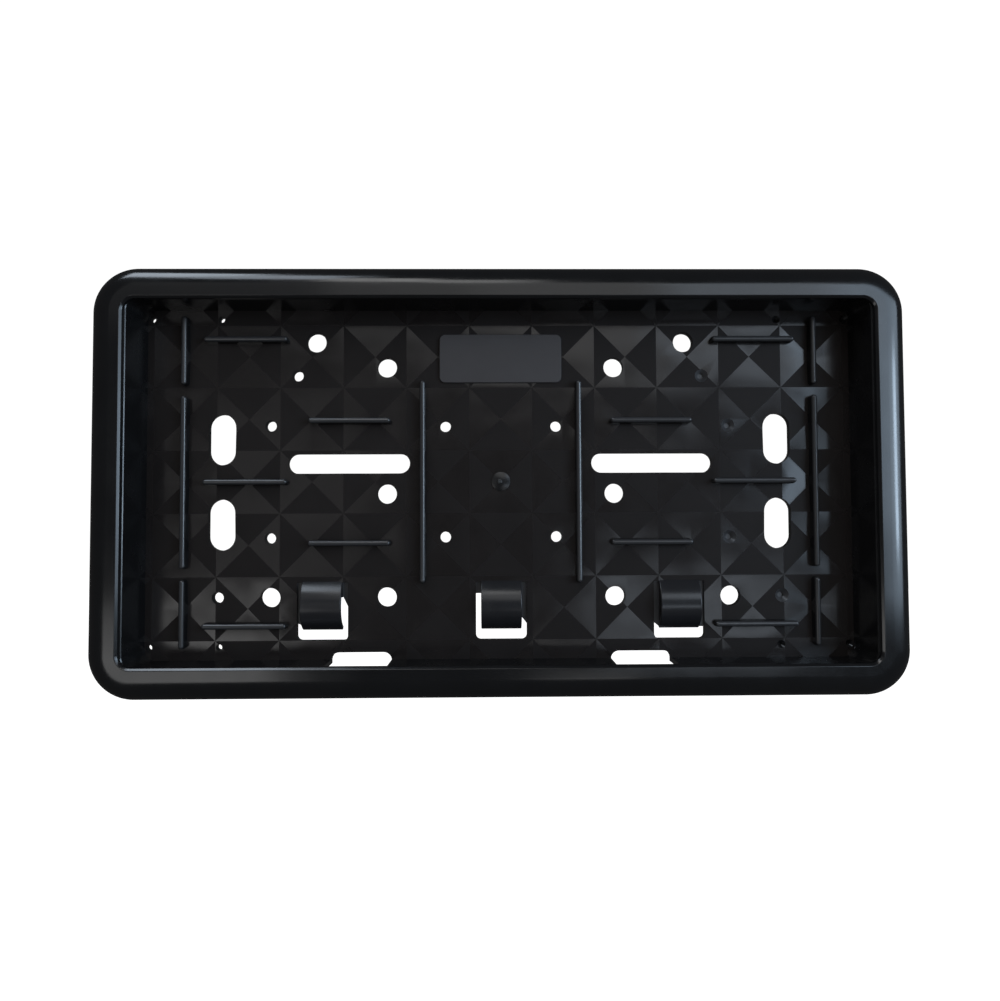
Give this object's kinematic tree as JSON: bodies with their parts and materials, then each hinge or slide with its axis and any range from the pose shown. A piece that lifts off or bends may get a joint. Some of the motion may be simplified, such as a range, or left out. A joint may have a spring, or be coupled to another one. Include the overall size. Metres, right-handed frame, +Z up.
{
  "type": "number plate holder",
  "caption": "Black plastic tray that holds a car number plate in a rounded rim, with slots and screw holes in its ribbed floor.",
  "frame": {"origin": "middle of the mounting face, in the plane of the tray's back", "axes": "+X along the width, +Z up as fixed on the car, +Y out of the back towards the car, front faces -Y"},
  "size_m": [0.342, 0.024, 0.1802],
  "materials": {
    "black_plastic": "glossy black moulded plastic, with a satin floor in facets"
  },
  "bodies": {
    "root": {"plate_holder": "black_plastic"}
  },
  "joints": []
}
